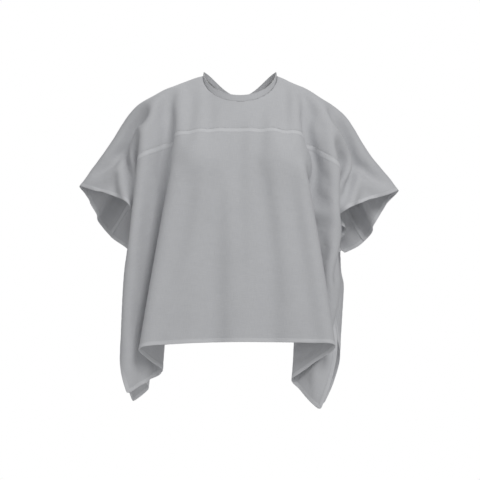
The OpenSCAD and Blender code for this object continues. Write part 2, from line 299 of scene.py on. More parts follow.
# %% The form
def form_parts():
    """("rod", end, end, radius, radius) and ("ball", middle, three radii)."""
    parts = [("rod", (0, 0.012, 0.16), (0, 0.0, -0.04), 0.056, 0.056),
             ("ball", (0, 0.0, -0.20), (0.160, 0.094, 0.17)),
             ("ball", (0, 0.0, -0.40), (0.135, 0.085, 0.30))]
    for side, middle, radius, tip in (
            (-1, (0.125, 0.004, -0.062), 0.044, (0.158, 0.004, -0.088)),
            (1, (0.100, 0.004, -0.0645), 0.044, (0.156, 0.004, -0.096))):
        def put(x, y, z):
            return side * x, y, z
        parts += [("rod", put(0.055, 0.004, -0.052), put(*middle), 0.050, radius),
                  ("rod", put(*middle), put(*tip), radius, 0.044),
                  ("rod", put(*tip), put(tip[0] + 0.002, 0.0, tip[2] - 0.06), 0.044, 0.042),
                  ("ball", put(0.078, -0.066, -0.180), (0.060, 0.060, 0.062)),
                  ("ball", put(0.085, 0.050, -0.140), (0.075, 0.048, 0.090))]
    return [tuple(np.array(p) if isinstance(p, tuple) else p for p in part) for part in parts]

def push_out(points, parts, gap=0.002):
    """Moves the points inside a part onto its skin, straight away from its axis or along the
    slope of its oval distance, and tells which points touched."""
    touched = np.zeros(points.shape[:-1])
    for part in parts:
        if part[0] == "rod":
            _, one, two, r1, r2 = part
            axis = two - one
            t = np.clip((points - one) @ axis / (axis @ axis), 0, 1)
            foot = one + t[..., None] * axis
            away = points - foot
            far = np.sqrt((away * away).sum(-1)) + 1e-12
            radius = r1 + (r2 - r1) * t + gap
            inside = far < radius
            points[inside] = foot[inside] + away[inside] * (radius / far)[inside][:, None]
        else:
            _, centre, radii = part
            size = radii + gap
            away = (points - centre) / size
            far = np.sqrt((away * away).sum(-1)) + 1e-12
            inside = far < 1
            slope = away[inside] / size
            steep = np.sqrt((slope * slope).sum(-1))
            depth = (1 - far[inside]) * far[inside] / steep
            points[inside] += slope * (depth / steep)[:, None]
        touched[inside] = 1
    return touched

# %% [markdown]
# ## Cloth against cloth
# Folded layers must not pass through each other. Space is divided into small boxes, and only points
# in the same or the next box are compared. Points that are close in space but far apart on the
# pattern are pushed apart.

# %% Layers that touch
class Layers:
    def __init__(self, u, v, cloth, near, far):
        self.index = np.where(cloth.ravel())[0]
        self.u, self.v = u.ravel()[self.index], v.ravel()[self.index]
        self.near, self.far = near, far
        self.next_boxes = [(i, j, k) for i in (-1, 0, 1) for j in (-1, 0, 1)
                           for k in (-1, 0, 1)][13:]
        self.one = self.two = np.zeros(0, int)

    def find(self, points):
        """Pairs closer than near in space and further than far on the pattern."""
        place = points.reshape(-1, 3)[self.index]
        box = np.floor((place + 10) / self.near).astype(np.int64)
        key = (box[:, 0] << 42) + (box[:, 1] << 21) + box[:, 2]
        order = np.argsort(key, kind="stable")
        used, first, count = np.unique(key[order], return_index=True, return_counts=True)
        ones, twos = [], []
        for i, j, k in self.next_boxes:
            other = key + (i << 42) + (j << 21) + k
            at = np.searchsorted(used, other)
            at[at == len(used)] = 0
            here = np.where(used[at] == other)[0]
            for n in range(min(int(count.max()), 8)):
                some = count[at[here]] > n
                a, b = here[some], order[first[at[here[some]]] + n]
                keep = b > a if (i, j, k) == (0, 0, 0) else np.ones(len(a), bool)
                ones.append(a[keep]); twos.append(b[keep])
        a, b = np.concatenate(ones), np.concatenate(twos)
        apart = np.hypot(self.u[a] - self.u[b], self.v[a] - self.v[b]) > self.far
        a, b = a[apart], b[apart]
        gap = place[a] - place[b]
        close = (gap * gap).sum(1) < self.near ** 2
        self.one, self.two = self.index[a[close]], self.index[b[close]]

    def part(self, points, amount=0.6):
        """Moves both points of each pair away from each other until they are near apart."""
        if len(self.one) == 0:
            return
        flat = points.reshape(-1, 3)
        gap = flat[self.one] - flat[self.two]
        far = np.sqrt((gap * gap).sum(1)) + 1e-12
        over = np.clip(self.near - far, 0, None)
        shift = gap * (0.5 * amount * over / far)[:, None]
        total, count = np.zeros_like(flat), np.zeros(len(flat))
        np.add.at(total, self.one, shift)
        np.add.at(total, self.two, -shift)
        np.add.at(count, self.one, over > 0)
        np.add.at(count, self.two, over > 0)
        moved = count > 0
        flat[moved] += total[moved] / np.sqrt(count[moved])[:, None]

# %% [markdown]
# ## Where the hands put the folds
# Someone has arranged the cape after dropping it: the front lies flat between two long folds, the
# sides are tucked in behind, and the corners hang. Each line below runs down the cloth. It gives
# its distance from the centre line near the neck, at the seam and at the hem, those three points in
# space, and how far it bows sideways between the last two. While the cloth settles, its points are
# drawn towards these lines, and they are still held at the end. So the lines decide where the folds
# lie, and the links, the layers and the form round the cloth off between them. In places the lines
# ask for more cloth than there is, and there the threads end up some percent too long.

# %% Lines of the folds
FRONT_LEFT = [
    (0, 0, 0, (0, -0.068, -0.0609), (0, -0.104, -0.1087),
     (0, -0.146, -0.5168), 0),
    (0.058, 0.065, 0.1, (-0.0586, -0.064, -0.0527), (-0.0625, -0.104, -0.1126),
     (-0.0944, -0.15, -0.5165), 0),
    (0.118, 0.13, 0.196, (-0.1209, -0.066, -0.0626), (-0.1234, -0.096, -0.1158),
     (-0.1905, -0.152, -0.5239), 0),
    (0.127, 0.139, 0.206, (-0.126, -0.062, -0.0642), (-0.1269, -0.084, -0.1177),
     (-0.1933, -0.14, -0.5296), 0),
    (0.142, 0.158, 0.298, (-0.1312, -0.055, -0.0654), (-0.1151, -0.066, -0.1211),
     (-0.1552, -0.08, -0.584), 0),
    (0.15, 0.167, 0.307, (-0.1353, -0.052, -0.0671), (-0.1193, -0.058, -0.1225),
     (-0.1569, -0.068, -0.5891), 0),
    (0.195, 0.207, 0.36, (-0.1649, -0.05, -0.0748), (-0.1599, -0.067, -0.1388),
     (-0.1811, -0.098, -0.6014), -0.004),
    (0.222, 0.242, 0.41, (-0.1912, -0.052, -0.0906), (-0.1929, -0.082, -0.1553),
     (-0.2129, -0.132, -0.6168), -0.01),
    (0.232, 0.252, 0.446, (-0.1985, -0.046, -0.096), (-0.1975, -0.072, -0.1586),
     (-0.2309, -0.122, -0.6294), -0.01),
    (0.25, 0.272, 0.64, (-0.1943, -0.036, -0.0991), (-0.1846, -0.048, -0.163),
     (-0.1787, -0.02, -0.6476), 0),
    (0.26, 0.282, 0.66, (-0.1978, -0.03, -0.1005), (-0.1872, -0.04, -0.1664),
     (-0.1793, -0.01, -0.6488), 0),
    (0.408, 0.408, 1.1, (-0.2475, -0.048, -0.2337), (-0.2092, -0.06, -0.2634),
     (-0.1528, 0.05, -0.6561), 0)]
FRONT_RIGHT = [
    (0, 0, 0, (0, -0.068, -0.0609), (0, -0.104, -0.1087),
     (0, -0.146, -0.5168), 0),
    (0.058, 0.065, 0.1, (0.0586, -0.064, -0.0536), (0.0625, -0.104, -0.1107),
     (0.0982, -0.15, -0.5165), 0),
    (0.118, 0.13, 0.204, (0.1112, -0.066, -0.0665), (0.1157, -0.096, -0.11),
     (0.1961, -0.152, -0.5173), 0),
    (0.127, 0.139, 0.214, (0.1162, -0.062, -0.0681), (0.1201, -0.084, -0.1129),
     (0.198, -0.14, -0.523), 0),
    (0.142, 0.158, 0.3, (0.1195, -0.055, -0.0694), (0.1092, -0.066, -0.125),
     (0.0932, -0.078, -0.5861), 0),
    (0.15, 0.167, 0.309, (0.1235, -0.052, -0.071), (0.1135, -0.058, -0.1283),
     (0.0916, -0.068, -0.591), 0),
    (0.195, 0.207, 0.356, (0.1531, -0.05, -0.0826), (0.156, -0.067, -0.1505),
     (0.1235, -0.094, -0.6134), 0.004),
    (0.222, 0.242, 0.41, (0.1824, -0.052, -0.1063), (0.1939, -0.082, -0.1747),
     (0.1447, -0.128, -0.6686), 0.005),
    (0.232, 0.252, 0.446, (0.1907, -0.046, -0.1117), (0.1985, -0.072, -0.178),
     (0.1703, -0.116, -0.6148), 0.004),
    (0.25, 0.272, 0.64, (0.1874, -0.036, -0.1149), (0.1846, -0.048, -0.1826),
     (0.1787, -0.02, -0.6416), 0),
    (0.26, 0.282, 0.66, (0.1908, -0.03, -0.1164), (0.1872, -0.04, -0.1861),
     (0.1793, -0.01, -0.6428), 0),
    (0.408, 0.408, 1.1, (0.2396, -0.048, -0.2435), (0.1937, -0.058, -0.2673),
     (0.1528, 0.05, -0.65), 0)]
BACK_LEFT = [
    (0, 0, 0, (0, 0.06, -0.0428), (0, 0.103, -0.0976),
     (0, 0.122, -0.5331), 0),
    (0.05, 0.058, 0.092, (-0.0513, 0.068, -0.0369), (-0.0602, 0.101, -0.1019),
     (-0.0943, 0.126, -0.5334), 0),
    (0.108, 0.118, 0.176, (-0.1145, 0.06, -0.0357), (-0.12, 0.092, -0.1068),
     (-0.1843, 0.126, -0.5439), 0),
    (0.115, 0.126, 0.184, (-0.1205, 0.057, -0.038), (-0.1237, 0.082, -0.1117),
     (-0.1878, 0.116, -0.5515), 0),
    (0.135, 0.148, 0.27, (-0.1324, 0.05, -0.0428), (-0.1168, 0.066, -0.1191),
     (-0.1701, 0.066, -0.5904), 0),
    (0.143, 0.156, 0.278, (-0.1405, 0.048, -0.0471), (-0.1206, 0.058, -0.1237),
     (-0.1715, 0.056, -0.5915), 0),
    (0.222, 0.238, 0.41, (-0.2014, 0.046, -0.088), (-0.1932, 0.074, -0.1924),
     (-0.2204, 0.106, -0.6692), -0.006),
    (0.232, 0.248, 0.452, (-0.2092, 0.042, -0.0944), (-0.1987, 0.064, -0.2011),
     (-0.253, 0.098, -0.6641), -0.008),
    (0.25, 0.268, 0.64, (-0.2066, 0.034, -0.1012), (-0.1912, 0.046, -0.2223),
     (-0.182, 0.03, -0.6557), 0),
    (0.26, 0.278, 0.66, (-0.2103, 0.03, -0.1035), (-0.1969, 0.04, -0.2306),
     (-0.1813, 0.02, -0.6545), 0),
    (0.408, 0.408, 1.1, (-0.3061, 0.018, -0.2716), (-0.2712, 0.052, -0.3383),
     (-0.1472, -0.05, -0.6459), 0)]
BACK_RIGHT = [
    (0, 0, 0, (0, 0.06, -0.0428), (0, 0.103, -0.0976),
     (0, 0.122, -0.5331), 0),
    (0.05, 0.058, 0.092, (0.0513, 0.068, -0.0369), (0.0602, 0.101, -0.1019),
     (0.0943, 0.126, -0.5334), 0),
    (0.108, 0.118, 0.176, (0.1145, 0.06, -0.0397), (0.12, 0.092, -0.1068),
     (0.1801, 0.126, -0.5439), 0),
    (0.115, 0.126, 0.184, (0.1205, 0.057, -0.0421), (0.1237, 0.082, -0.1117),
     (0.1837, 0.116, -0.5515), 0),
    (0.135, 0.148, 0.27, (0.1324, 0.05, -0.0489), (0.1168, 0.066, -0.1191),
     (0.1353, 0.066, -0.5904), 0),
    (0.143, 0.156, 0.278, (0.1405, 0.048, -0.0532), (0.1206, 0.058, -0.1237),
     (0.1368, 0.056, -0.5915), 0),
    (0.222, 0.238, 0.41, (0.1973, 0.046, -0.1043), (0.1932, 0.074, -0.2048),
     (0.1662, 0.104, -0.6752), 0.006),
    (0.232, 0.248, 0.452, (0.2052, 0.042, -0.1107), (0.1987, 0.064, -0.2134),
     (0.2072, 0.096, -0.6555), 0.006),
    (0.25, 0.268, 0.64, (0.2025, 0.034, -0.1174), (0.1831, 0.046, -0.2141),
     (0.182, 0.03, -0.6516), 0),
    (0.26, 0.278, 0.66, (0.2063, 0.03, -0.1197), (0.1866, 0.038, -0.2226),
     (0.1813, 0.02, -0.6504), 0),
    (0.408, 0.408, 1.1, (0.294, 0.018, -0.2777), (0.259, 0.052, -0.3485),
     (0.1472, -0.05, -0.6419), 0)]
# sleeve hems, from back to front, and the ridge from shoulder to hem
SLEEVE_LEFT = [
    (-0.2, (-0.234, 0.07, -0.3568)),
    (-0.16, (-0.2734, 0.054, -0.3403)),
    (-0.11, (-0.2977, 0.034, -0.3058)),
    (-0.054, (-0.3106, 0.014, -0.2597)),
    (0, (-0.316, 0, -0.214)),
    (0.05, (-0.2753, -0.026, -0.226)),
    (0.09, (-0.2434, -0.05, -0.2347)),
    (0.125, (-0.2158, -0.074, -0.2443)),
    (0.15, (-0.2092, -0.06, -0.2634))]
SLEEVE_RIGHT = [
    (-0.21, (0.2135, 0.07, -0.3733)),
    (-0.156, (0.263, 0.052, -0.3485)),
    (-0.107, (0.2813, 0.032, -0.3098)),
    (-0.05, (0.2983, 0.012, -0.2637)),
    (0, (0.315, 0, -0.224)),
    (0.05, (0.2693, -0.026, -0.2369)),
    (0.095, (0.2316, -0.05, -0.2484)),
    (0.132, (0.2003, -0.074, -0.2521)),
    (0.15, (0.1937, -0.058, -0.2673))]
RIDGE_LEFT = [
    (0.202, (-0.1943, 0.004, -0.0576)),
    (0.2665, (-0.2353, 0.003, -0.1028)),
    (0.408, (-0.316, 0, -0.214))]
RIDGE_RIGHT = [
    (0.213, (0.1903, 0.004, -0.0786)),
    (0.262, (0.2233, 0.003, -0.1108)),
    (0.408, (0.316, 0, -0.224))]

def drawn_rows(goal, lines, side, facing, start, end):
    """Fills goal for one quarter. A row between two stations lies at share k of every line, and
    a point takes its place between the two lines at its own distance from the centre."""
    u_start, u_seam, u_hem, first, top, low, bow = (np.array(c) for c in zip(*lines))
    for i in np.where(facing * v[:, 0] > start - 1e-6)[0]:
        deep = facing * v[i, 0]
        if deep < YOKE - 1e-6:
            k = (deep - start) / (YOKE - start)
            at, place = u_start * (1 - k) + u_seam * k, first * (1 - k) + top * k
        else:
            k = (deep - YOKE) / (end - YOKE)
            at, place = u_seam * (1 - k) + u_hem * k, top * (1 - k) + low * k
            place[:, 0] += bow * 4 * k * (1 - k)
        mine = side * u[i] > 0
        for c in range(3):
            goal[i, mine, c] = np.interp(np.abs(u[i, mine]), at, place[:, c])

FIRST_FRONT, FIRST_BACK = 0.095, 0.066
goal = np.full(u.shape + (3,), np.nan)
drawn_rows(goal, FRONT_LEFT, -1, 1, FIRST_FRONT, FRONT)
drawn_rows(goal, FRONT_RIGHT, 1, 1, FIRST_FRONT, FRONT)
drawn_rows(goal, BACK_LEFT, -1, -1, FIRST_BACK, BACK)
drawn_rows(goal, BACK_RIGHT, 1, -1, FIRST_BACK, BACK)
# shallow valleys that run down the flat front
VALLEY_TOP = 0.25
low_front = (v > VALLEY_TOP) & (np.abs(u) < 0.14)
valley = (0.016 * np.exp(-((u + 0.055) / 0.022) ** 2)
          + 0.013 * np.exp(-((u - 0.058) / 0.022) ** 2)
          - 0.007 * np.exp(-(u / 0.03) ** 2))
downwards = np.clip((v - VALLEY_TOP) / (FRONT - VALLEY_TOP), 0, 1)
goal[..., 1] += np.where(low_front, valley * downwards, 0.0)
# the chest pushes the front out on both sides of the middle
chest = np.exp(-((np.abs(goal[..., 0]) - 0.078) / 0.045) ** 2
               - ((goal[..., 2] + 0.178) / 0.055) ** 2)
goal[..., 1] -= np.where(v > YOKE - 1e-6, 0.008 * chest, 0.0)

def along_line(line, at):
    """The place on a line of (position, point) at each of the positions."""
    known = np.array([entry[0] for entry in line])
    points = np.array([entry[1] for entry in line])
    return np.stack([np.interp(at, known, points[:, c]) for c in range(3)], -1)

# firmer where the corners hang, loose inside the sleeves
firm = np.where((v < 1e-6) & (v > -YOKE - 1e-6) & (np.abs(u) > 0.28), 0.2, 1.0)
firm = firm + 2.0 * ((np.abs(u) > 0.30) & (np.abs(v) > 0.42))

# the sleeve hems and the ridge of each sleeve, and the flat cloth in front between them: at share
# k from the ridge to the seam row it lies at ridge (1 - k) + row k, and it bends out to the hem
SLEEVE_FROM, SLEEVE_FIRM = 0.265, 3.0
hems = np.full(u.shape + (3,), np.nan)
for side, hem, ridge in ((-1, SLEEVE_LEFT, RIDGE_LEFT), (1, SLEEVE_RIGHT, RIDGE_RIGHT)):
    row = np.argmin(np.abs(v[:, 0] - YOKE))
    cols = np.where(side * u[row] > SLEEVE_FROM)[0]
    rows = np.where((v[:, 0] > 1e-6) & (v[:, 0] < YOKE - 1e-6))[0]
    k = (v[rows, 0] / YOKE)[:, None, None]
    top = along_line(ridge, side * u[row, cols])[None]
    low = goal[row, cols][None]
    edge = along_line(hem, v[rows, 0])[:, None]
    edge_0, edge_1 = along_line(hem, [0.0])[None], along_line(hem, [YOKE])[None]
    near = ((side * u[row, cols] - SLEEVE_FROM) / (HALF_WIDTH - SLEEVE_FROM))[None, :, None]
    goal[np.ix_(rows, cols)] = (top * (1 - k) + low * k
                                + (edge - edge_0 * (1 - k) - edge_1 * k) * near)
    firm[np.ix_(rows, cols)] = SLEEVE_FIRM
    edge = (side * u > HALF_WIDTH - 0.6 * step) & (v > hem[0][0]) & (v < hem[-1][0])
    hems[edge] = along_line(hem, v[edge])
    top = (side * u > ridge[0][0]) & (np.abs(v) < 0.6 * step)
    hems[top] = along_line(ridge, side * u[top])

# %% [markdown]
# ## Letting it fall
# Each short step of time moves every point by its speed and weight, and then puts the links, the
# layers and the form right, one after another. The speed is read back from where the points ended
# up. The neck is held: in the first moments it moves from the flat oval to its curve round the
# neck, which dips at the front.

# %% The neck's curve
def side_rise(a):
    """The cloth rolls up against the band at the sides of the neck, by 6 mm times
    the square of 1 - |sin a|."""
    return 0.006 * (1 - np.abs(np.sin(a))) ** 2

def neck_curve(a):
    """The neck seam at angle a: across NECK cos a; the depth is NECK_FRONT or NECK_BACK times
    sin a; it dips by NECK_DIP times sin a in front and by NAPE_DIP times sin a to the power 3.2
    behind, and it rises at the sides."""
    s = np.sin(a)
    front = s > 0
    dip = np.where(front, NECK_DIP * np.abs(s), NAPE_DIP * np.abs(s) ** 3.2)
    return np.stack([NECK * np.cos(a), np.where(front, -NECK_FRONT, -NECK_BACK) * s,
                     side_rise(a) - dip], -1)

# %% The drape
def settle(points, seconds, rate, steady):
    """Drops the cloth for that many seconds with rate steps a second. Each step does:
    speed loses a little and gains gravity; points move; links pull back by half their error
    each; layers part; the form pushes; speed = what moved / step, less where it touches."""
    form = form_parts()
    layers = Layers(u, v, cloth, 0.8 * step, 3.2 * step)
    free = cloth.astype(float)
    free[neck] = 0
    start = points[neck].copy()
    end = neck_curve(np.arctan2((v[neck] - middle_v) / radius_v, u[neck] / NECK))
    drawn, on_hem = cloth & ~np.isnan(goal[..., 0]), cloth & ~np.isnan(hems[..., 0])
    speed, h = np.zeros_like(points), 1.0 / rate
    for n in range(int(seconds * rate)):
        t = n * h
        k = min(t / 0.3, 1.0)
        held = start + (end - start) * k * k * (3 - 2 * k)
        before = points.copy()
        speed[..., 2] -= 9.81 * h
        speed *= math.exp(-2.0 * h)
        points += speed * h * free[..., None]
        points[neck] = held
        grip = np.interp(t, [0.25, 0.8, 1.2, 1.5], [0, 0.03, 0.03, steady])
        points[drawn] += (goal[drawn] - points[drawn]) * grip * firm[drawn][:, None]
        points[on_hem] += (hems[on_hem] - points[on_hem]) * min(grip * 15, 0.03)
        for one, two, length, there, kind in sets:
            gap = points[one] - points[two]
            far = np.sqrt((gap * gap).sum(-1)) + 1e-12
            w1, w2 = free[one], free[two]
            if kind == "bend":
                pull = (far - length) * there / (w1 + w2 + 3.0)
            else:
                pull = (far - length) * there / np.maximum(w1 + w2, 1e-9)
                pull *= 0.5 if kind == "bias" else 1.0
            pull = gap * (pull / far)[..., None]
            points[one] -= pull * w1[..., None]
            points[two] += pull * w2[..., None]
        if n % 12 == 0:
            layers.find(points)
        if n % 4 == 0:
            layers.part(points)
        touched = push_out(points, form)
        points[neck] = held
        speed = (points - before) / h * (1 - 0.3 * touched)[..., None]
        fast = np.sqrt((speed * speed).sum(-1))
        speed *= np.minimum(1.0, 3.0 / np.maximum(fast, 1e-9))[..., None]
    return points

began = time.time()
points = np.stack([u, -v, np.full(u.shape, 0.03)], -1)
SECONDS, RATE, LAST_GRIP = 2.0, 1200, 0.004
points = settle(points, SECONDS, RATE, LAST_GRIP)
print("draped in", round(time.time() - began), "s; lowest", np.round(points[cloth].min(0), 3),
      "highest", np.round(points[cloth].max(0), 3))

# %% [markdown]
# ## From points to sheets
# The draped grid is cut back into its three pieces. Every edge has a narrow hem, turned to the
# inside, and each panel laps over the yoke's edge by a narrow felled seam. Both are doubled cloth,
# so extra lines of points are put in just beside them, and there the sheet steps outwards by a
# fraction of a millimetre and is twice as thick. The yoke runs on under the lap, a little sunk.

# %% Lines beside hems and seams
HEM = 0.008
FELL = 0.010
STEP = 0.0004

def with_steps(lines, places):
    """The lines with two more, STEP before and after each place."""
    extra = np.ravel([[p - STEP, p + STEP] for p in places])
    return np.unique(np.concatenate([lines, extra]).round(6))

def resample(values, index, axis):
    """Smooth values between rows or columns, by the cubic through the two on each side:
    half of (2b + (c - a)t + (2a - 5b + 4c - d)t^2 + (3b - a - 3c + d)t^3)."""
    last = values.shape[axis] - 1
    i = np.clip(np.floor(index).astype(int), 0, last - 1)
    shape = [1] * values.ndim
    shape[axis] = len(index)
    t = (index - i).reshape(shape)
    a, b, c, d = (np.take(values, np.clip(i + k, 0, last), axis) for k in (-1, 0, 1, 2))
    return 0.5 * (2 * b + (c - a) * t + (2 * a - 5 * b + 4 * c - d) * t * t
                  + (3 * b - a - 3 * c + d) * t ** 3)

def lift(values, row_index, col_index):
    return resample(resample(values, row_index, 0), col_index, 1)

# %% [markdown]
# ## Cotton
# The cloth is a plain weave of white cotton, matt and a little cool. Three things show: the
# threads, which are uneven, the rows of stitches, and the lighter strips where the cloth is
# doubled. On the band and the tab a painted highlight also lightens both edges. All of them follow
# the cloth, so they are worked out from its flat position in metres, which each piece carries as
# its UV map.

# %% Cotton
def weave(f, x, y):
    """Height in metres of crossing threads, and how light each thread is, about 0.5."""
    pitch = 0.0009
    threads = x.wave(pitch) * y.wave(pitch)
    uneven = (f.noise(f.join(x * 60.0, y * 1400.0), 1.0, 1.0)
              + f.noise(f.join(x * 1400.0, y * 60.0), 1.0, 1.0)) * 0.5
    return threads * 0.00004 + uneven * 0.00012, uneven

def dashes(place, row, x, pitch=0.0028):
    """1 on the stitches of a row where place is 0, which runs along x."""
    line = (1.0 - abs(place - row) / 0.00045).held()
    return line * ((x * (2 * math.pi / pitch)).math("COSINE") * 1.6 + 0.9).held()

def cotton(name, strips):
    """White cotton. strips(f, x, y) gives 1 where the cloth is doubled, or where a painted highlight
    lies along the edges of the band and tab, and 1 on stitches.
    """
    f = Finish(name)
    x, y, z = f.split(f.add("ShaderNodeUVMap", {"uv_map": "flat"}))
    height, uneven = weave(f, x, y)
    # doubled holds the doubled strips and, on the band and tab, the painted highlight along their
    # edges
    doubled, stitched = strips(f, x, y)
    at = f.join(x, y)
    cloudy = f.noise(at, 14.0, 3.0)
    creased = f.noise(f.join(x + cloudy * 0.02, y * 2.2), 26.0, 4.0)
    puckers = doubled * (f.noise(at, 130.0, 2.0) - 0.5)
    light = (uneven - 0.5) * 0.9 + (cloudy - 0.5) * 0.3 + 0.5 - stitched * 0.25
    plain = f.between(light.held(), (0.60, 0.605, 0.62, 1), (0.80, 0.805, 0.82, 1))
    colour = f.between((doubled * 0.8 - stitched * 0.2).held(), plain, (0.83, 0.835, 0.85, 1))
    bent = f.bumps(height + creased * 0.0012 + puckers * 0.0006 + stitched * 0.00025
                   + doubled * 0.0002)
    return f.finish(Base_Color=colour, Roughness=(0.95 - uneven * 0.12).held(),
                    Normal=bent, Sheen_Weight=0.12, Sheen_Roughness=0.6,
                    Specular_IOR_Level=0.25)

def panel_strips(f, x, y):
    """Hems along the four edges of the cape, and felled seams under the yoke."""
    side = HALF_WIDTH - abs(x)
    end = (FRONT - y).least(y + BACK)
    fell = abs(y) - YOKE
    hem = ((HEM - side.least(end)) / 0.0006).held()
    seam = (fell / 0.0003).held() * ((FELL - fell) / 0.0006).held()
    rows = dashes(side, HEM - 0.0015, y).most(dashes(end, HEM - 0.0015, x))
    rows = rows.most(dashes(fell, 0.0012, x)).most(dashes(fell, FELL - 0.0013, x))
    return hem.most(seam), rows

white_cotton = cotton("white_cotton", panel_strips)

# %% Panels
ROWS = {"yoke": (-YOKE, YOKE), "front_panel": (YOKE, FRONT), "back_panel": (-BACK, -YOKE)}

def build_panel(name):
    """One piece of the pattern as a mesh: cells whose four corners are cloth are squares, cells
    with three are triangles, and the cells in the cut at the nape are left out."""
    low, high = ROWS[name]
    spare = 1.5 * step if name == "yoke" else 1e-6
    rows = np.where((along > low - spare) & (along < high + spare))[0]
    line_v, line_u = along[rows], across
    if name == "yoke":
        inner = line_v[np.abs(line_v) < YOKE - 1e-4]
        ends = np.array([YOKE - 0.0008, YOKE, YOKE + FELL - 0.001])
        new_v = np.concatenate([-ends[::-1], inner, ends])
    else:
        new_v = with_steps(line_v, [YOKE + FELL, FRONT - HEM] if low > 0
                           else [-YOKE - FELL, -BACK + HEM])
    new_u = with_steps(line_u, [-HALF_WIDTH + HEM, HALF_WIDTH - HEM])
    row_index = np.interp(new_v, line_v, np.arange(len(line_v)))
    col_index = np.interp(new_u, line_u, np.arange(len(line_u)))
    place = lift(points[rows], row_index, col_index)
    flat_u = lift(u[rows], row_index, col_index)
    flat_v = lift(v[rows], row_index, col_index)
    solid = cloth[rows][np.ix_(np.round(row_index).astype(int), np.round(col_index).astype(int))]

    side = HALF_WIDTH - np.abs(flat_u)
    end = np.minimum(FRONT - flat_v, flat_v + BACK)
    fell = np.abs(flat_v) - YOKE
    lap = (fell > -0.0005) & (fell < FELL)
    doubled = (np.minimum(side, end) < HEM) | (lap & (name != "yoke"))
    out = np.cross(np.gradient(place, axis=0), np.gradient(place, axis=1))
    out /= np.linalg.norm(out, axis=-1, keepdims=True) + 1e-12
    place = place + out * (0.00025 * doubled - 0.0009 * (lap & (name == "yoke")))[..., None]

    number = np.full(solid.shape, -1)
    number[solid] = np.arange(solid.sum())
    corners = np.stack([number[:-1, :-1], number[1:, :-1], number[1:, 1:], number[:-1, 1:]], -1)
    cut = (np.abs(flat_u) < SLIT * 1.01) & (flat_v < 0)
    open_cell = cut[:-1, :-1] & cut[1:, :-1] & cut[1:, 1:] & cut[:-1, 1:]
    corners = corners[~open_cell]
    known = (corners >= 0).sum(1)
    squares = corners[known == 4]
    three = corners[known == 3]
    three = three[three >= 0].reshape(-1, 3)
    mesh = bpy.data.meshes.new(name + "_cloth")
    mesh.from_pydata(place[solid].tolist(), [], squares.tolist() + three.tolist())
    flat = np.stack([flat_u[solid], flat_v[solid]], 1).astype(np.float32)
    corner = np.zeros(len(mesh.loops), np.int32)
    mesh.loops.foreach_get("vertex_index", corner)
    mesh.uv_layers.new(name="flat").data.foreach_set("uv", flat[corner].ravel())
    mesh.shade_smooth()
    mesh.materials.append(white_cotton)
    piece = bpy.data.objects.new(name + "_cloth", mesh)
    scene.collection.objects.link(piece)
    folded = piece.vertex_groups.new(name="doubled")
    folded.add(np.where(doubled[solid])[0].tolist(), 1.0, "REPLACE")
    thick = piece.modifiers.new("thickness", "SOLIDIFY")
    thick.thickness, thick.offset = 0.0009, -1
    thick.vertex_group, thick.thickness_vertex_group = "doubled", 0.5
    smooth = piece.modifiers.new("smooth", "SUBSURF")
    smooth.levels = smooth.render_levels = 1
    print(name, len(squares), "squares,", len(three), "triangles")
    return piece

yoke = build_panel("yoke")
front = build_panel("front_panel")
back = build_panel("back_panel")

# %% [markdown]
# ## Neckband and tab
# The band is a strip of the same cotton over a stiff interlining, with the lining towards the neck.
# It stands on the neck seam and leans in a little. Each layer is a flat profile carried along the
# neck's curve. The tab is made the same way, further out from the nape, where it covers the cut.

# %% Layers on the neck's curve
LEAN = 0.14

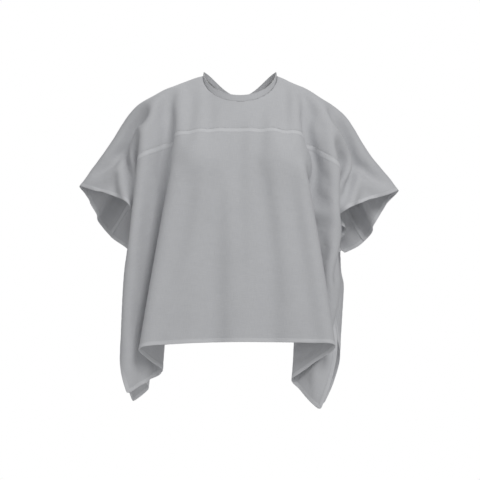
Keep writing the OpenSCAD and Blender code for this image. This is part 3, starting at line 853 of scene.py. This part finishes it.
def band_layer(name, start, end, low, high, inner, outer, rounded=0.0, count=160):
    """A strip from angle start to end. The profile runs round a rectangle, from inner to outer
    away from the neck and from low to high. A point of it sits at
    p + out (offset - LEAN h) + up h, where p is the neck's curve and out points away from it.
    The outer face is puffed by 0.12 mm, less towards the ends, and the edges pucker by 0.15 mm
    between stitches."""
    a = np.linspace(start, end, count)
    p = neck_curve(a)
    deep = np.where(p[:, 1] < 0, NECK_FRONT, NECK_BACK)
    out = np.stack([p[:, 0] / NECK ** 2, p[:, 1] / deep ** 2, 0 * a], 1)
    out /= np.linalg.norm(out, axis=1, keepdims=True)
    run = np.concatenate([[0], np.cumsum(np.linalg.norm(np.diff(p, axis=0), axis=1))])
    heights = np.linspace(low + 0.0003, high - 0.0003, 9)
    edge = 0.3 * (outer - inner)
    h = np.concatenate([heights, [high, high], heights[::-1], [low, low]])
    puff = 0.00012 * np.sin(np.pi * (heights - low) / (high - low))
    offset = np.concatenate([0 * heights + outer, [outer - edge, inner + edge],
                             0 * heights + inner, [inner + edge, outer - edge]])
    puffed = np.concatenate([puff, np.zeros(len(offset) - len(puff))])
    flat_ends = np.clip(np.minimum(run, run[-1] - run) / 0.004, 0, 1)[:, None]
    offset = offset[None] + flat_ends * puffed[None]
    middle = (low + high) / 2
    from_end = run[-1] - run
    lost = rounded - np.sqrt(np.clip(rounded ** 2 - np.clip(rounded - from_end, 0, None) ** 2,
                                     0, None)) if rounded else 0 * run
    shrink = 1 - lost / ((high - low) / 2)
    h = middle + (h[None] - middle) * shrink[:, None]
    h = low + (h - low) * (1 - side_rise(a) / (high - low))[:, None]
    wavy = 0.00015 * np.sin(run * 2 * np.pi / 0.0062 + 1.3 * np.sin(run * 190))[:, None]
    h = h + wavy * (h - middle) / (high - low) * 2
    place = (p[:, None] + out[:, None] * (offset - LEAN * h)[..., None]
             + np.array([0, 0, 1.0]) * h[..., None])
    n = place.shape[1]
    k = np.arange(count * n).reshape(count, n)
    faces = np.stack([k[:-1], k[1:], np.roll(k, -1, 1)[1:], np.roll(k, -1, 1)[:-1]], -1)
    mesh = bpy.data.meshes.new(name)
    mesh.from_pydata(place.reshape(-1, 3).tolist(), [],
                     faces.reshape(-1, 4).tolist() + [k[0].tolist(), k[-1][::-1].tolist()])
    flat = np.stack([np.broadcast_to(run[:, None], h.shape), h - low], -1).reshape(-1, 2)
    corner = np.zeros(len(mesh.loops), np.int32)
    mesh.loops.foreach_get("vertex_index", corner)
    mesh.uv_layers.new(name="flat").data.foreach_set("uv", flat[corner].astype(np.float32).ravel())
    mesh.shade_smooth()
    piece = bpy.data.objects.new(name, mesh)
    scene.collection.objects.link(piece)
    return piece, run[-1]

def edge_strips(high):
    """Stitches 1.6 mm from both edges of a strip, and a painted highlight 0.8 mm wide along both
    edges.
    """
    def strips(f, x, y):
        rows = dashes(y, 0.0016, x).most(dashes(y, high - 0.0016, x))
        # painted highlight: the 0.8 mm along each edge is lightened, with 0.6 of the strength of a
        # doubled strip
        return ((0.0008 - y.least(high - y)) / 0.0004).held() * 0.6, rows
    return strips

band_cotton = cotton("band_cotton", edge_strips(0.013))
tab_cotton = cotton("tab_cotton", edge_strips(0.0102))

# %% Interlining
def interlining():
    """A stiff, slightly yellow net of coarse threads."""
    f = Finish("stiff_interlining")
    x, y, z = f.split(f.add("ShaderNodeUVMap", {"uv_map": "flat"}))
    net = abs(x.wave(0.0014)).most(abs(y.wave(0.0014)))
    tone = f.noise(f.join(x, y), 300.0)
    return f.finish(Base_Color=f.between((net * 0.6 + tone * 0.4).held(), (0.55, 0.54, 0.50, 1),
                                         (0.78, 0.77, 0.73, 1)),
                    Roughness=0.9, Normal=f.bumps(net * 0.0001))

stiff = interlining()

# %% The band
nape = math.asin(SLIT / NECK)
turns = (-math.pi / 2 + nape, 1.5 * math.pi - nape)
GAP = 0.00002
band = {}
for name, inner, outer, finish in (
        ("neckband_outer", -0.00095, -0.00045, band_cotton),
        ("neckband_interlining", -0.00135 + GAP, -0.00095 - GAP, stiff),
        ("neckband_lining", -0.00185, -0.00135, band_cotton)):
    band[name], length = band_layer(name + "_cloth", *turns, -0.001, 0.012, inner, outer)
    band[name].data.materials.append(finish)
print("neckband", round(length * 1000), "mm long")

# %% The tab
def nape_angle(x):
    """The angle of the neck's curve at that distance across, behind the neck."""
    return -math.acos(x / NECK)

tab = {}
for name, inner, outer, finish in (("tab_outer", 0.0041, 0.0046, tab_cotton),
                                   ("tab_interlining", 0.0037 + GAP, 0.0041 - GAP, stiff),
                                   ("tab_lining", 0.0032, 0.0037, tab_cotton)):
    tab[name], length = band_layer(name + "_cloth", nape_angle(0.014), nape_angle(-0.022),
                                   0.0008, 0.011, inner, outer, rounded=0.004, count=90)
    tab[name].data.materials.append(finish)
tab["tab_root"], _ = band_layer("tab_root_cloth", nape_angle(0.022), nape_angle(0.0143),
                                0.0008, 0.011, -0.00045, 0.0046, count=24)
tab["tab_root"].data.materials.append(tab_cotton)
print("tab", round(length * 1000), "mm long")

for piece in list(band.values()) + list(tab.values()):
    volume = sum(p.center.dot(p.normal) * p.area for p in piece.data.polygons) / 3
    if volume < 0:
        piece.data.flip_normals()
    print(piece.name, "volume", round(abs(volume) * 1e9), "mm3",
          "turned" if volume < 0 else "")

# %% [markdown]
# ## Press studs
# The studs keep the shapes they were drawn with. They are stamped from thin plated brass: bright,
# with fine turning marks and small dark marks from wear.

# %% Plated metal
def plated(name, seed):
    f = Finish(name)
    x, y, z = f.split(f.add("ShaderNodeTexCoord").of("Object"))
    at = f.join(x, y, z)
    fine = f.noise(at, 2600.0 + seed, 2.0)
    marks = f.noise(at, 420.0 + seed, 4.0)
    worn = ((marks - 0.56) * 6.0).held()
    colour = f.between(worn, (0.72, 0.71, 0.69, 1), (0.48, 0.46, 0.43, 1))
    return f.finish(Base_Color=colour, Metallic=1.0, Roughness=(0.22 + fine * 0.16 + worn * 0.2),
                    Normal=f.bumps(fine * 0.00002))

metal = plated("plated_metal", 0.0)
for name in ("stud_cap", "stud_socket", "stud_knob", "stud_eyelet"):
    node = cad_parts[name]
    node.data.materials.clear()
    node.data.materials.append(metal)

# %% [markdown]
# ## Telling the frame what each piece is
# Each new piece stands for one part of the frame and moves with the same body.
# The layers of the band go with the yoke, and the inside of the tab with its outside.

# %% Pieces
for name, piece in {"yoke": yoke, "front_panel": front, "back_panel": back, **band,
                    **tab}.items():
    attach(piece, "closing_tab" if name.startswith("tab_") and name != "tab_root" else "cape")
    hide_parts(name)
